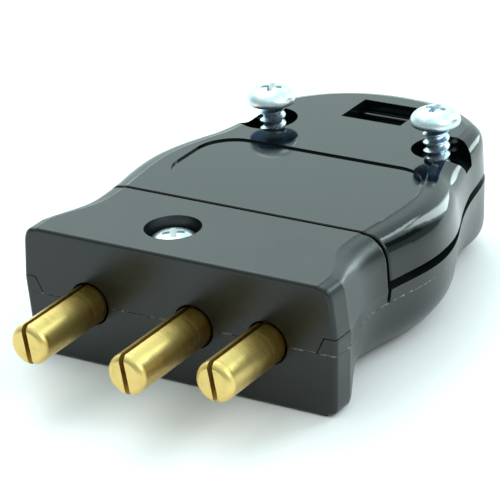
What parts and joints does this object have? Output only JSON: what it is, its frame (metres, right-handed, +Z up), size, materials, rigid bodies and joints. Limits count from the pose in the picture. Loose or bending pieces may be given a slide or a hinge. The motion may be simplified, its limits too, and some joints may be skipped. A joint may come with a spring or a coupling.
{
  "type": "stage pin plug",
  "caption": "Flat stage pin plug with split round brass contacts in a row, a two-part top cover held by screws, an inner cord clamp and a rear cord inlet.",
  "frame": {"origin": "on the flat underside, on the body's centre line, midway between the tip of the longest pin and the apex of the tail outline", "axes": "+Z up out of the covers, -Y the way the pins point, +X towards the close-spaced outer pin"},
  "size_m": [0.0548, 0.0881, 0.0274],
  "materials": {
    "base_plastic": "semi-matte moulded nylon",
    "front_cover_plastic": "semi-matte moulded nylon",
    "rear_cover_plastic": "glossy moulded polycarbonate",
    "clamp_plastic": "moulded nylon",
    "pin_brass": "turned, bright",
    "terminal_brass": "sawn and drilled",
    "zinc_steel": "bright zinc plating",
    "terminal_steel": "zinc plated"
  },
  "bodies": {
    "root": {"base_housing": "base_plastic", "front_cover": "front_cover_plastic", "rear_cover": "rear_cover_plastic", "clamp_saddle": "clamp_plastic", "clamp_bar": "clamp_plastic", "left_corner_key": "base_plastic", "right_corner_key": "base_plastic", "front_cover_screw": "zinc_steel", "left_rear_screw": "zinc_steel", "right_rear_screw": "zinc_steel", "hot_pin": "pin_brass", "hot_terminal_block": "terminal_brass", "hot_terminal_screw": "terminal_steel", "hot_pressure_plate": "terminal_steel", "ground_pin": "pin_brass", "ground_terminal_block": "terminal_brass", "ground_terminal_screw": "terminal_steel", "ground_pressure_plate": "terminal_steel", "neutral_pin": "pin_brass", "neutral_terminal_block": "terminal_brass", "neutral_terminal_screw": "terminal_steel", "neutral_pressure_plate": "terminal_steel"}
  },
  "joints": []
}
